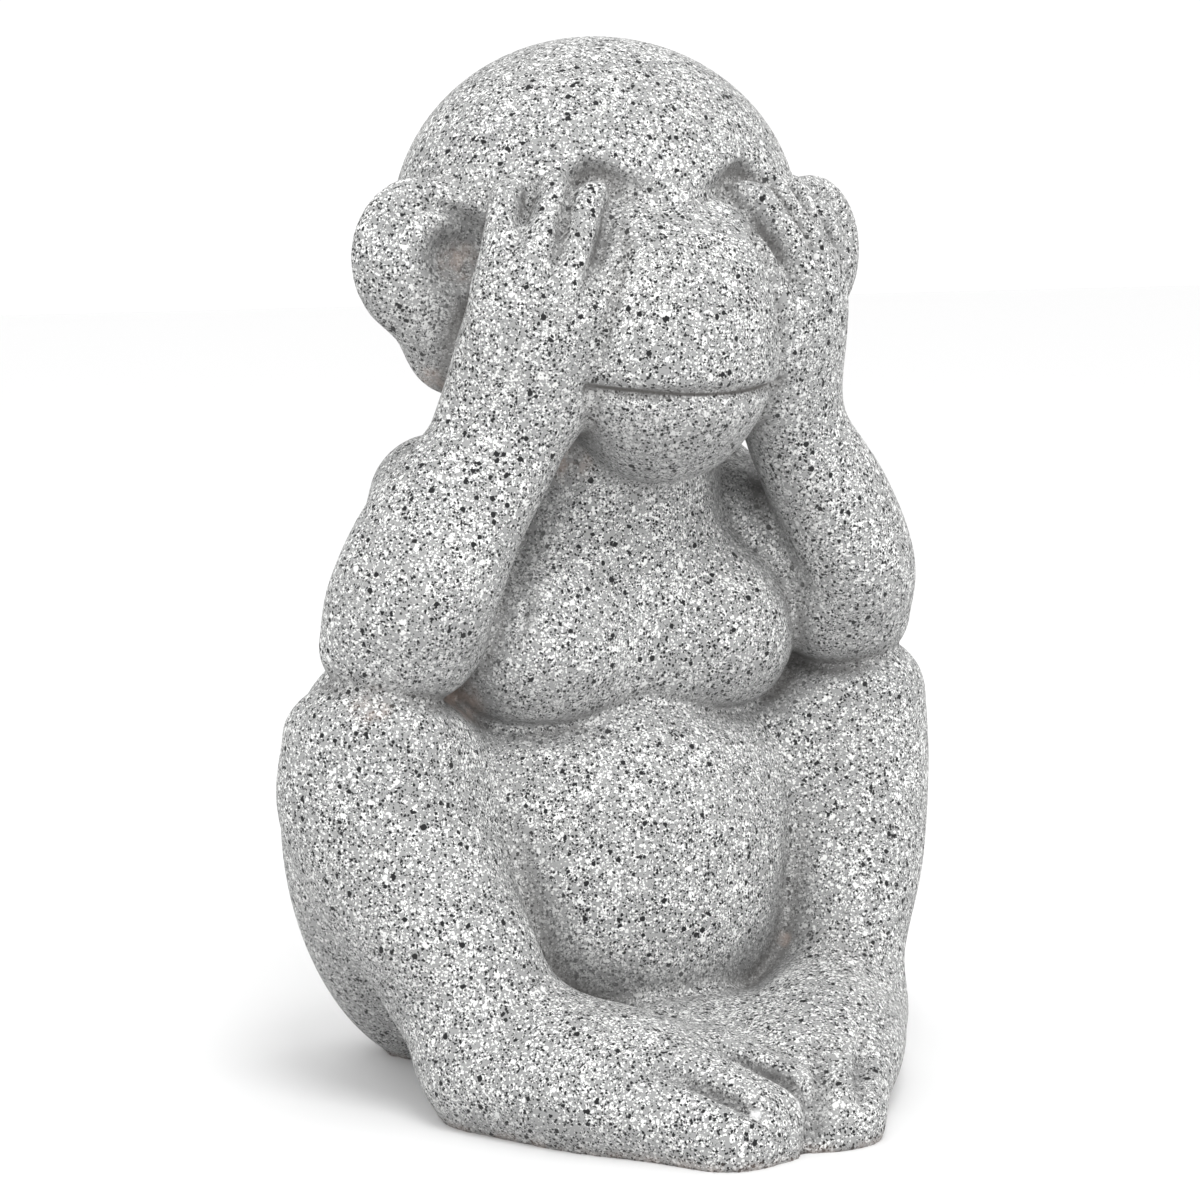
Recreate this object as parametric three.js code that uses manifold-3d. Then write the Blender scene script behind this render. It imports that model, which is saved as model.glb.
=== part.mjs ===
// A seated monkey with both hands over its eyes, cast in one piece with a flat underside.
// Every limb and swelling is a rounded form, and neighbouring forms run into each other with a fillet.
import * as THREE from 'three';
import { mergeVertices } from 'three/addons/utils/BufferGeometryUtils.js';
import Module from 'manifold-3d';

// Driving dimensions: the height in millimetres, then the fineness of the faceting.
// All forms below are in hundredths of the height, with x to the monkey's left, y to its back and z up.
// The middle of the skull stands over x = 0, y = 0, and what is given once at x > 0 is there on both sides.
const HEIGHT = 400;
const UNIT = HEIGHT / 100;
const CELL = 0.8;
const FACETS = 9600;
const FACE_LEVEL = 62;
const FACE_CARE = 4;
const CURVE_STEPS = 8;
const MIDDLE_Y = -10.2;
const LOWEST_CORNER = [-42, -49, -10];
const HIGHEST_CORNER = [42, 25, 118];

// Trunk
const CHEST = { centre: [0, 5.5, 43], radii: [18.5, 15, 21] };
const SHOULDERS = { centre: [0, 8, 51], radii: [17.5, 11, 11.5] };
const BREAST = { centre: [8.8, -0.9, 42.7], radii: [11.4, 11, 10.4] };
const UPPER_BACK = { centre: [0, 8.5, 43], radii: [17, 12, 21] };
const LOWER_BACK = { centre: [0, 7, 18], radii: [17, 13, 22] };
const SEAT = { centre: [0, 4, 18], radii: [18.5, 16, 22] };
const BELLY = { centre: [0, -0.5, 17], radii: [17.2, 17, 21] };
const WAIST = { centre: [0, 0.5, 26], radii: [17.6, 14.2, 11.6] };
const NECK = [[0, 4, 54, 13.2], [0, 3, 70, 13.8]];
const TRUNK_FILLETS = {
  chest: 4,
  breasts: 5,
  breast: 3,
  seat: 5,
  belly: 6,
  underBreast: 0.6,
  spine: 8,
  back: 1,
  neck: 4,
};
const BREAST_CREASE = { width: 0.8, depth: 0.7, facing: [0.3, -1, -0.5] };
const BREAST_LINE = [
  [17.5, -5.2, 36.2, 0.4],
  [14, -7.6, 34.9, 1],
  [9.1, -10, 34.3, 1],
  [5, -11.4, 34.7, 1],
  [1.6, -11.6, 35.9, 0.8],
  [0, -11.6, 36.6, 0.3],
];

// Head
const SKULL = { centre: [0, 0.3, 82], radii: [20.8, 15.5, 18.1] };
const BACK_OF_SKULL = { centre: [0, 4.5, 81.5], radii: [17.5, 15, 17] };
const CHEEKS = { centre: [0, -3.5, 74], radii: [15, 11.5, 12] };
const BROW_HOLLOW = [[8.6, -14.3, 86.5, 2.7], [2.8, -16.3, 84.5, 2]];
const JAW = { centre: [0, -11.8, 68.4], radii: [10.7, 9.2, 8] };
const CHIN = { centre: [0, -11.4, 65], radii: [7.6, 8.2, 6.8] };
const MUZZLE = { centre: [0, -12.3, 71], radii: [11.3, 9.6, 13] };
const MUZZLE_TOP = { centre: [3, -12.2, 76.8], radii: [5.2, 7.4, 6] };
const LIP_LEVEL = 67.6;
const HEAD_FILLETS = {
  skull: 3,
  cheeks: 5,
  brow: 0.8,
  chin: 3,
  muzzleTops: 3,
  muzzle: 4,
  lip: 0.5,
  nose: 2,
  jaw: 0.8,
  head: 1.5,
};
const MOUTH = { width: 0.45, depth: 0.5, facing: [0, -1, 0] };
const MOUTH_LINE = [
  [-11.5, -11, 68.2, 0.6],
  [-9.4, -16.5, 67.6, 1],
  [0, -21.3, 67.1, 1],
  [9.4, -16.5, 67.6, 1],
  [11.5, -11, 68.2, 0.6],
];
const MUZZLE_CREASE = { width: 0.6, depth: 0.4, facing: [0.45, -0.89, 0] };
const MUZZLE_LINE = [
  [6.5, -16.3, 81.2, 0.5],
  [7.9, -17.2, 77.5, 1],
  [8.9, -17.2, 74, 1],
  [9.6, -16.8, 70.8, 0.8],
  [9.9, -16.5, 69, 0.3],
];

// Ears
const EAR = { centre: [21.8, -4, 79.8], radii: [6.8, 3.2, 8.2], turn: 14 };
const EAR_LOBE = { centre: [17.5, -3.5, 72], radii: [5.5, 4, 6], turn: 20 };
const EAR_BOWL = { centre: [19, -8.6, 79.8], radii: [3.9, 3.5, 3.8] };
const EAR_FILLETS = { lobe: 3, head: 1.6, bowl: 1.6 };
const EAR_FOLD = { width: 0.75, depth: 1.1, facing: [0.2, -1, 0.1] };
const EAR_FOLD_LINE = [
  [25.4, -5.6, 80.2, 0.3],
  [25, -5.9, 82.2, 1],
  [23.3, -6.1, 84.2, 1],
  [20.6, -6.5, 84.1, 1],
  [18.5, -7, 83.2, 1],
  [17.3, -7.8, 81.8, 0.8],
];

// Arms: beads are [x, y, z, radius] along the middle of a limb
const UPPER_ARM = [[13.7, 7.5, 54.6, 6.8], [19, 1, 50, 6.6], [24.6, -5, 44.2, 6.2]];
const ARM_FOLD = [[14.5, -1, 54, 6], [21.5, -6, 45, 5.2]];
const FOREARM = [
  [25.5, -6.6, 43.6, 5.4],
  [24.5, -7.9, 48.5, 5.9],
  [21.6, -8.4, 55, 5.6],
  [16.8, -9.4, 62, 4.8],
  [14.8, -10.2, 66.5, 4.6],
  [14.2, -11, 70.5, 4],
];
const FOREARM_SPREAD = { way: [0.8, 0.6], factor: 1.35 };
const ARM_FILLETS = { fold: 2, elbow: 1.6, wrist: 2.5, body: 0.8 };
const ARMPIT = { width: 0.6, depth: 0.5, facing: [-0.5, -0.85, 0] };
const ARMPIT_LINE = [[-13, -9.7, 47.6, 0.3], [-13.9, -10.1, 46.1, 1], [-14.6, -10.2, 44.3, 0.4]];

// Hands: a palm with a groove between neighbouring fingers, which run from a base to a tip
const PALM = [
  [14.8, -10.4, 66, 3.4],
  [14.5, -12.2, 71, 3.8],
  [14, -13.5, 76, 3.7],
  [12.3, -13.8, 80, 3.3],
  [10.4, -12.9, 84, 2.4],
];
const PALM_SPREAD = { way: [0.93, 0.37], factor: 1.75 };
const FINGERS = [
  [[17.5, -11.6, 77, 2.2], [15.3, -10.2, 84.7, 2]],
  [[15.2, -13.3, 76.5, 2.2], [11.5, -11.7, 85.5, 2]],
  [[12.4, -14.6, 76, 2.2], [7.8, -12.9, 84.5, 2]],
  [[9.4, -15.3, 75, 2.2], [4.7, -13.6, 82.6, 2]],
];
const FINGER_GAP = { width: 0.8, depth: 1.6, facing: [0.45, -0.89, 0] };
const FINGER_GAP_LINES = [
  [[13.3, -11, 87, 1], [15.6, -13.4, 83.4, 1], [17.4, -15, 80.1, 0.2]],
  [[9.9, -12.5, 87.6, 1], [12.6, -15, 82.2, 1], [15.2, -17.2, 77.2, 0.4]],
  [[7, -14.6, 85, 1], [9.8, -16.6, 80, 1], [12.2, -18.1, 75.5, 0.4]],
];
const HAND_FILLETS = { fingers: 0.5, palm: 1 };

// Legs: a haunch leans outwards and forwards as it rises
const HAUNCH = { centre: [17.6, 6.6, 20.5], radii: [12.4, 12.6, 22] };
const HAUNCH_LEAN = { outward: 0.2, forward: 0.17 };
const THIGH = [[12, 7, 27, 8], [23.5, 1, 33, 6.5]];
const CALF = [[22.5, -2, 31, 7.8], [18, -4.5, 12, 8]];
const SHIN = [
  [28, -5.3, 34.8, 6],
  [27.7, -5.4, 28, 6.6],
  [25, -8.4, 20, 6.7],
  [22.2, -11.2, 14.5, 6.2],
  [20.2, -12.6, 9, 5.7],
  [18.2, -12.5, 4, 4.8],
];
const SHIN_SPREAD = { way: [0.6, 0.8], factor: 1.4 };
const LEG_FILLETS = { thigh: 4, haunches: 4, bridge: 2.5, ankle: 3.5, bigToe: 1.5, feet: 1, body: 1.4 };

// Feet: the right one is a little longer and stouter than the left
const LEFT_FOOT = [
  [17.2, -14.3, 4.8, 6.8],
  [11, -22.8, 4.8, 6.8],
  [6.6, -29.5, 3.4, 5.6],
  [3.8, -35.4, 1.8, 4.3],
];
const RIGHT_FOOT = [
  [18.4, -14.3, 4.8, 7.2],
  [13.2, -23.6, 4.4, 7.4],
  [8.9, -30.2, 3.2, 6.5],
  [6.5, -35.2, 1.8, 5.6],
];
const LEFT_BIG_TOE = [[4.5, -28, 4.5, 4.6], [3.6, -34.6, 2.6, 3.8]];
const RIGHT_BIG_TOE = [[4, -28.5, 5.4, 4], [0.6, -35, 3.8, 3.3]];
const FOOT_SPREAD = { way: [0.87, -0.5], factor: 1.2 };
const FEET_BRIDGE = [[2.5, -15, 2.5, 7.5], [2.5, -24, 2, 6.8], [2, -31, 1, 5.6], [2, -35, 0.5, 4.4]];
const TOE_GAP = { width: 1, depth: 1.6, facing: [0.1, -0.75, 0.65] };
const LEFT_TOE_GAPS = [
  [[9, -33.6, 7.6, 0.2], [7.4, -35, 6, 0.8], [5.6, -36.4, 4.8, 0.9], [4.2, -37.6, 3.4, 0.4]],
];
const RIGHT_TOE_GAPS = [
  [[13.4, -33, 8.2, 0.3], [10.1, -35.3, 6.2, 1], [7.8, -38.2, 4.9, 1], [6.8, -39.4, 4.3, 0.6]],
  [[6.5, -32, 9, 0.3], [3.1, -33.5, 6.4, 1], [0.6, -36.6, 4.6, 1], [0.4, -37.7, 3.9, 0.8]],
];
const FEET_GAP = { width: 0.9, depth: 1.2, facing: [0.1, -0.75, 0.65] };
const FEET_GAP_LINE = [
  [4.2, -32.6, 7.9, 0.3],
  [2.7, -35.6, 6.4, 0.8],
  [1.1, -38.2, 4.5, 1],
  [-0.2, -39, 2.6, 1],
  [-1.4, -39.6, 1.1, 0.8],
];

// Where two forms only meet over the middle plane or each other's edge, the fillet is this small
const SLIGHT = 0.1;
// A groove's line may lie in front of the surface or behind it: this share of that gap doesn't count
const LEEWAY = 0.9;

// A form is a function that gives the distance of a point to its surface, negative inside.

function ellipsoid({ centre: [cx, cy, cz], radii: [rx, ry, rz], turn = 0 }) {
  const cos = Math.cos(THREE.MathUtils.degToRad(turn));
  const sin = Math.sin(THREE.MathUtils.degToRad(turn));
  return (x, y, z) => {
    const u = ((x - cx) * cos + (y - cy) * sin) / rx;
    const v = ((y - cy) * cos - (x - cx) * sin) / ry;
    const w = (z - cz) / rz;
    const reach = Math.sqrt(u * u + v * v + w * w);
    const slope = Math.sqrt((u / rx) ** 2 + (v / ry) ** 2 + (w / rz) ** 2);
    return (reach * (reach - 1)) / Math.max(slope, 1e-6);
  };
}

// A round limb between two beads, tapering evenly from one radius to the other
function limb([ax, ay, az, ra], [bx, by, bz, rb]) {
  const dx = bx - ax;
  const dy = by - ay;
  const dz = bz - az;
  const lengthSquared = dx * dx + dy * dy + dz * dz;
  return (x, y, z) => {
    const along = ((x - ax) * dx + (y - ay) * dy + (z - az) * dz) / lengthSquared;
    const t = Math.min(Math.max(along, 0), 1);
    const ex = x - ax - t * dx;
    const ey = y - ay - t * dy;
    const ez = z - az - t * dz;
    return Math.sqrt(ex * ex + ey * ey + ez * ez) - (ra + (rb - ra) * t);
  };
}

// Beads closer together on a smooth curve through the given ones
function smoothed(beads) {
  const curveOf = (vectors) => new THREE.CatmullRomCurve3(vectors, false, 'catmullrom', 0.5);
  const spine = curveOf(beads.map(([x, y, z]) => new THREE.Vector3(x, y, z)));
  const girth = curveOf(beads.map((bead) => new THREE.Vector3(bead[3], 0, 0)));
  const steps = CURVE_STEPS * (beads.length - 1);
  const beadAt = (t) => [...spine.getPoint(t), girth.getPoint(t).x];
  return Array.from({ length: steps + 1 }, (_, i) => beadAt(i / steps));
}

function curvedLimb(beads) {
  const fine = smoothed(beads);
  const spans = fine.slice(1).map((bead, i) => limb(fine[i], bead));
  return (x, y, z) => spans.reduce((least, span) => Math.min(least, span(x, y, z)), Infinity);
}

// A curved limb whose section is wider along a level way than across it
function wideLimb(beads, { way: [wx, wy], factor }) {
  const shrink = 1 / factor - 1;
  const narrowed = (x, y) => {
    const along = (x * wx + y * wy) * shrink;
    return [x + along * wx, y + along * wy];
  };
  const round = curvedLimb(beads.map(([x, y, z, r]) => [...narrowed(x, y), z, r]));
  return (x, y, z) => round(...narrowed(x, y), z);
}

// Joining two forms fills the crease between them with a fillet, and carving rounds the rim
function softMinimum(p, q, fillet) {
  const overlap = Math.max(fillet - Math.abs(p - q), 0) / fillet;
  return Math.min(p, q) - overlap * overlap * fillet * 0.25;
}

function joined(fillet, ...forms) {
  return (x, y, z) => {
    let distance = forms[0](x, y, z);
    for (let i = 1; i < forms.length; i++) {
      distance = softMinimum(distance, forms[i](x, y, z), fillet);
    }
    return distance;
  };
}

function carved(rounding, form, tool) {
  return (x, y, z) => -softMinimum(-form(x, y, z), tool(x, y, z), rounding);
}

function pair(fillet, form) {
  return (x, y, z) => softMinimum(form(x, y, z), form(-x, y, z), fillet);
}

// A rounded groove pressed in along a line whose fourth numbers are shares of the full depth
function grooved(form, line, { width, depth, facing }) {
  const fine = smoothed(line);
  const places = fine.map(([x, y, z]) => new THREE.Vector3(x, y, z));
  const spans = places.slice(1).map((place, i) => new THREE.Line3(places[i], place));
  const box = new THREE.Box3().setFromPoints(places).expandByScalar(3 * width);
  const face = new THREE.Vector3(...facing).normalize();
  const point = new THREE.Vector3();
  const away = new THREE.Vector3();
  const shareAt = (i, t) => THREE.MathUtils.lerp(fine[i][3], fine[i + 1][3], t);
  const press = () => {
    const shares = spans.map((span, i) => {
      const t = span.closestPointToPointParameter(point, true);
      away.subVectors(point, span.at(t, away));
      const gap = away.lengthSq() - LEEWAY * away.dot(face) ** 2;
      return shareAt(i, t) * Math.exp(-gap / width ** 2);
    });
    return depth * Math.max(...shares);
  };
  return (x, y, z) => {
    const distance = form(x, y, z);
    return box.containsPoint(point.set(x, y, z)) ? distance + press() : distance;
  };
}

function groovedOnBothSides(form, line, { width, depth, facing: [fx, fy, fz] }) {
  const mirrored = line.map(([x, y, z, share]) => [-x, y, z, share]);
  const left = grooved(form, line, { width, depth, facing: [fx, fy, fz] });
  return grooved(left, mirrored, { width, depth, facing: [-fx, fy, fz] });
}

function makeHaunch() {
  const upright = ellipsoid(HAUNCH);
  const level = HAUNCH.centre[2];
  const leaning = (x, y, z) => {
    const rise = z - level;
    return upright(x - HAUNCH_LEAN.outward * rise, y + HAUNCH_LEAN.forward * rise, z);
  };
  return joined(LEG_FILLETS.thigh, leaning, limb(...THIGH));
}

function makeTrunk() {
  const fillets = TRUNK_FILLETS;
  const haunches = pair(LEG_FILLETS.haunches, makeHaunch());
  const seat = joined(fillets.seat, ellipsoid(SEAT), haunches);
  const belly = joined(fillets.belly, ellipsoid(BELLY), ellipsoid(WAIST));
  const lower = joined(fillets.belly, seat, belly, pair(fillets.belly, limb(...CALF)));
  const chest = joined(fillets.chest, ellipsoid(CHEST), ellipsoid(SHOULDERS));
  const upper = joined(fillets.breast, chest, pair(fillets.breasts, ellipsoid(BREAST)));
  const back = joined(fillets.spine, ellipsoid(UPPER_BACK), ellipsoid(LOWER_BACK));
  const trunk = joined(fillets.back, joined(fillets.underBreast, upper, lower), back);
  return joined(fillets.neck, trunk, limb(...NECK));
}

function makeHead() {
  const fillets = HEAD_FILLETS;
  const ball = joined(fillets.skull, ellipsoid(SKULL), ellipsoid(BACK_OF_SKULL));
  const skull = joined(fillets.cheeks, ball, ellipsoid(CHEEKS));
  const brow = carved(fillets.brow, skull, pair(SLIGHT, limb(...BROW_HOLLOW)));
  const muzzleTops = pair(fillets.muzzleTops, ellipsoid(MUZZLE_TOP));
  const muzzle = joined(fillets.muzzle, ellipsoid(MUZZLE), muzzleTops);
  const upperLip = carved(fillets.lip, muzzle, (x, y, z) => z - LIP_LEVEL);
  const jaw = joined(fillets.chin, ellipsoid(JAW), ellipsoid(CHIN));
  return joined(fillets.jaw, joined(fillets.nose, brow, upperLip), jaw);
}

function makeEar() {
  return joined(EAR_FILLETS.lobe, ellipsoid(EAR), ellipsoid(EAR_LOBE));
}

function makeHand() {
  const fingers = joined(HAND_FILLETS.fingers, ...FINGERS.map((finger) => limb(...finger)));
  const hand = joined(HAND_FILLETS.palm, wideLimb(PALM, PALM_SPREAD), fingers);
  return FINGER_GAP_LINES.reduce((form, line) => grooved(form, line, FINGER_GAP), hand);
}

function makeArm() {
  const upper = joined(ARM_FILLETS.fold, curvedLimb(UPPER_ARM), limb(...ARM_FOLD));
  const arm = joined(ARM_FILLETS.elbow, upper, wideLimb(FOREARM, FOREARM_SPREAD));
  return joined(ARM_FILLETS.wrist, arm, makeHand());
}

function makeLeg(sole, bigToe, toeGaps) {
  const foot = joined(LEG_FILLETS.bridge, wideLimb(sole, FOOT_SPREAD), curvedLimb(FEET_BRIDGE));
  const leg = joined(LEG_FILLETS.ankle, wideLimb(SHIN, SHIN_SPREAD), foot);
  const toed = joined(LEG_FILLETS.bigToe, leg, limb(...bigToe));
  return toeGaps.reduce((form, line) => grooved(form, line, TOE_GAP), toed);
}

function makeLegs() {
  const left = makeLeg(LEFT_FOOT, LEFT_BIG_TOE, LEFT_TOE_GAPS);
  const right = makeLeg(RIGHT_FOOT, RIGHT_BIG_TOE, RIGHT_TOE_GAPS);
  const legs = joined(LEG_FILLETS.feet, left, (x, y, z) => right(-x, y, z));
  return grooved(legs, FEET_GAP_LINE, FEET_GAP);
}

function makeMonkey() {
  let form = joined(HEAD_FILLETS.head, makeTrunk(), makeHead());
  form = joined(EAR_FILLETS.head, form, pair(SLIGHT, makeEar()));
  form = carved(EAR_FILLETS.bowl, form, pair(SLIGHT, ellipsoid(EAR_BOWL)));
  form = groovedOnBothSides(form, EAR_FOLD_LINE, EAR_FOLD);
  form = groovedOnBothSides(form, BREAST_LINE, BREAST_CREASE);
  form = joined(LEG_FILLETS.body, form, makeLegs());
  form = joined(ARM_FILLETS.body, form, pair(SLIGHT, makeArm()));
  form = groovedOnBothSides(form, MUZZLE_LINE, MUZZLE_CREASE);
  form = grooved(form, ARMPIT_LINE, ARMPIT);
  return grooved(form, MOUTH_LINE, MOUTH);
}

// Faceting: cubes that the surface passes through are cut into six tetrahedra around one diagonal,
// and each tetrahedron gives one or two triangles, so the skin is always closed.
// A cube's corner is a number whose three bits say how far it lies along x, y and z.
const CORNER_PATHS = [[0, 1, 3, 7], [0, 1, 5, 7], [0, 2, 3, 7], [0, 2, 6, 7], [0, 4, 5, 7], [0, 4, 6, 7]];
const BLOCK = 4;
const BLOCK_REACH = BLOCK * CELL * 1.5;
const NEVER_ZERO = 1e-3;

const cornerPlace = (corner) => new THREE.Vector3(corner & 1, (corner >> 1) & 1, corner >> 2);

function middleOf(corners) {
  const sum = corners.reduce((total, corner) => total.add(cornerPlace(corner)), new THREE.Vector3());
  return sum.divideScalar(corners.length);
}

function facet(form, box) {
  const [nx, ny, nz] = ['x', 'y', 'z'].map((axis) => {
    const blocks = Math.ceil((box.max[axis] - box.min[axis]) / (CELL * BLOCK));
    return blocks * BLOCK + 1;
  });
  const indexOf = (i, j, k) => i + nx * (j + ny * k);
  const placeOf = (i, j, k) => [box.min.x + CELL * i, box.min.y + CELL * j, box.min.z + CELL * k];
  const distances = new Float64Array(nx * ny * nz).fill(NaN);
  const distanceAt = (i, j, k) => {
    const index = indexOf(i, j, k);
    if (Number.isNaN(distances[index])) {
      const distance = form(...placeOf(i, j, k));
      distances[index] = Math.abs(distance) < NEVER_ZERO ? NEVER_ZERO : distance;
    }
    return distances[index];
  };

  const points = [];
  const triangles = [];
  const numbers = new Map();

  const addCube = (i, j, k) => {
    const at = (corner) => [i + (corner & 1), j + ((corner >> 1) & 1), k + (corner >> 2)];
    const depths = Array.from({ length: 8 }, (_, corner) => distanceAt(...at(corner)));
    if (depths.every((depth) => depth > 0) || depths.every((depth) => depth < 0)) {
      return;
    }
    const crossing = (one, other) => {
      const low = Math.min(one, other);
      const high = Math.max(one, other);
      const key = indexOf(...at(low)) * 8 + (high ^ low);
      if (!numbers.has(key)) {
        const start = new THREE.Vector3(...placeOf(...at(low)));
        const end = new THREE.Vector3(...placeOf(...at(high)));
        numbers.set(key, points.length);
        points.push(start.lerp(end, depths[low] / (depths[low] - depths[high])));
      }
      return numbers.get(key);
    };
    for (const path of CORNER_PATHS) {
      const inner = path.filter((corner) => depths[corner] < 0);
      const outer = path.filter((corner) => depths[corner] > 0);
      if (inner.length === 0 || outer.length === 0) {
        continue;
      }
      const ring = inner.flatMap((corner, n) => {
        const links = outer.map((other) => crossing(corner, other));
        return n % 2 === 0 ? links : links.reverse();
      });
      const [a, b, c] = ring.map((number) => points[number]);
      const normal = new THREE.Vector3().subVectors(b, a).cross(new THREE.Vector3().subVectors(c, a));
      if (normal.dot(middleOf(outer).sub(middleOf(inner))) < 0) {
        ring.reverse();
      }
      for (let n = 2; n < ring.length; n++) {
        triangles.push([ring[0], ring[n - 1], ring[n]]);
      }
    }
  };

  for (let k = 0; k < nz - 1; k += BLOCK) {
    for (let j = 0; j < ny - 1; j += BLOCK) {
      for (let i = 0; i < nx - 1; i += BLOCK) {
        const half = BLOCK / 2;
        if (Math.abs(form(...placeOf(i + half, j + half, k + half))) > BLOCK_REACH) {
          continue;
        }
        for (let cube = 0; cube < BLOCK ** 3; cube++) {
          const step = [cube % BLOCK, Math.floor(cube / BLOCK) % BLOCK, Math.floor(cube / BLOCK ** 2)];
          addCube(i + step[0], j + step[1], k + step[2]);
        }
      }
    }
  }
  return { points, triangles };
}

// Simplifying: the edge whose loss bends the skin least goes first, measured by the squared distances
// to the planes of the triangles that it replaces, until the wanted number of facets is left.
const LENGTH_COST = 0.002;
const LEAST_TURN = 0.2;

class Queue {
  items = [];

  push(item) {
    const { items } = this;
    let at = items.push(item) - 1;
    while (at > 0 && items[(at - 1) >> 1].cost > item.cost) {
      items[at] = items[(at - 1) >> 1];
      at = (at - 1) >> 1;
    }
    items[at] = item;
  }

  pop() {
    const { items } = this;
    const first = items[0];
    const last = items.pop();
    if (items.length === 0) {
      return first;
    }
    let at = 0;
    for (let child = 1; child < items.length; child = 2 * at + 1) {
      if (child + 1 < items.length && items[child + 1].cost < items[child].cost) {
        child++;
      }
      if (items[child].cost >= last.cost) {
        break;
      }
      items[at] = items[child];
      at = child;
    }
    items[at] = last;
    return first;
  }
}

// The ten numbers of a plane's squared distance, times the triangle's area and the care that it needs
function planeMeasure(a, b, c) {
  const normal = new THREE.Vector3().subVectors(b, a).cross(new THREE.Vector3().subVectors(c, a));
  const area = normal.length() / 2;
  normal.normalize();
  const { x, y, z } = normal;
  const offset = -normal.dot(a);
  const weight = area * (a.z > FACE_LEVEL ? FACE_CARE : 1);
  const withX = [x * x, x * y, x * z, x * offset];
  const withY = [y * y, y * z, y * offset];
  const others = [z * z, z * offset, offset * offset];
  return [...withX, ...withY, ...others].map((product) => product * weight);
}

function measureAt([xx, xy, xz, x1, yy, yz, y1, zz, z1, one], { x, y, z }) {
  const squares = xx * x * x + yy * y * y + zz * z * z;
  const mixed = xy * x * y + xz * x * z + yz * y * z;
  return squares + 2 * mixed + 2 * (x1 * x + y1 * y + z1 * z) + one;
}

// The place where the measure is least, or the edge's middle where the skin is too flat to tell
function bestPlace(measure, a, b) {
  const [xx, xy, xz, x1, yy, yz, y1, zz, z1] = measure;
  const middle = a.clone().lerp(b, 0.5);
  const matrix = new THREE.Matrix3().set(xx, xy, xz, xy, yy, yz, xz, yz, zz);
  if (Math.abs(matrix.determinant()) < 1e-4 * (xx + yy + zz) ** 3) {
    return middle;
  }
  const place = new THREE.Vector3(-x1, -y1, -z1).applyMatrix3(matrix.invert());
  return place.distanceTo(middle) < a.distanceTo(b) ? place : middle;
}

function simplified({ points, triangles }, target) {
  const measures = points.map(() => new Array(10).fill(0));
  const versions = new Uint32Array(points.length);
  const around = points.map(() => new Set());
  triangles.forEach((corners, number) => {
    const measure = planeMeasure(...corners.map((corner) => points[corner]));
    for (const corner of corners) {
      around[corner].add(number);
      measures[corner] = measures[corner].map((value, n) => value + measure[n]);
    }
  });
  const neighboursOf = (corner) => {
    const found = new Set([...around[corner]].flatMap((number) => triangles[number]));
    found.delete(corner);
    return found;
  };

  const queue = new Queue();
  const offer = (a, b) => {
    const measure = measures[a].map((value, n) => value + measures[b][n]);
    const place = bestPlace(measure, points[a], points[b]);
    const cost = measureAt(measure, place) + LENGTH_COST * points[a].distanceToSquared(points[b]);
    queue.push({ cost, a, b, place, measure, version: versions[a] + versions[b] });
  };
  points.forEach((_, a) => neighboursOf(a).forEach((b) => a < b && offer(a, b)));

  const keepsFacing = (number, moved, place) => {
    const before = triangles[number].map((corner) => points[corner]);
    const after = triangles[number].map((corner) => (corner === moved ? place : points[corner]));
    const normalOf = (corners) => new THREE.Triangle(...corners).getNormal(new THREE.Vector3());
    return normalOf(before).dot(normalOf(after)) > LEAST_TURN;
  };

  let left = triangles.length;
  while (left > target && queue.items.length > 0) {
    const { a, b, place, measure, version } = queue.pop();
    if (version !== versions[a] + versions[b] || around[a].size === 0 || around[b].size === 0) {
      continue;
    }
    const shared = [...around[a]].filter((number) => around[b].has(number));
    const nearBoth = [...neighboursOf(a)].filter((corner) => neighboursOf(b).has(corner));
    const turned = [a, b].some((moved) =>
      [...around[moved]].some((number) => !shared.includes(number) && !keepsFacing(number, moved, place)));
    if (shared.length !== 2 || nearBoth.length !== 2 || turned) {
      continue;
    }
    for (const number of shared) {
      triangles[number].forEach((corner) => around[corner].delete(number));
      triangles[number] = null;
    }
    for (const number of around[b]) {
      triangles[number] = triangles[number].map((corner) => (corner === b ? a : corner));
      around[a].add(number);
    }
    around[b].clear();
    points[a] = place;
    measures[a] = measure;
    versions[a]++;
    left -= 2;
    neighboursOf(a).forEach((corner) => offer(a, corner));
  }
  return triangles.filter(Boolean).map((corners) => corners.map((corner) => points[corner]));
}

// The facets in millimetres, with the middle of the whole figure over the origin
function makeSkin() {
  const box = new THREE.Box3(new THREE.Vector3(...LOWEST_CORNER), new THREE.Vector3(...HIGHEST_CORNER));
  const facets = simplified(facet(makeMonkey(), box), FACETS);
  const geometry = new THREE.BufferGeometry().setFromPoints(facets.flat());
  geometry.translate(0, -MIDDLE_Y, 0).scale(UNIT, UNIT, UNIT);
  return mergeVertices(geometry, 1e-6);
}

// The ground plane cuts the skin off, which leaves the flat underside
async function standing(skin) {
  const wasm = await Module();
  wasm.setup();
  const solid = (geometry) => new wasm.Manifold(new wasm.Mesh({
    numProp: 3,
    vertProperties: new Float32Array(geometry.attributes.position.array),
    triVerts: new Uint32Array(geometry.index.array),
  }));
  const ground = new THREE.BoxGeometry(2 * HEIGHT, 2 * HEIGHT, HEIGHT).translate(0, 0, -HEIGHT / 2);
  ground.deleteAttribute('normal').deleteAttribute('uv');
  const cut = solid(skin).subtract(solid(mergeVertices(ground))).getMesh();
  const geometry = new THREE.BufferGeometry();
  geometry.setAttribute('position', new THREE.BufferAttribute(cut.vertProperties, 3));
  geometry.setIndex(new THREE.BufferAttribute(cut.triVerts, 1));
  geometry.computeVertexNormals();
  return geometry;
}

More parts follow.
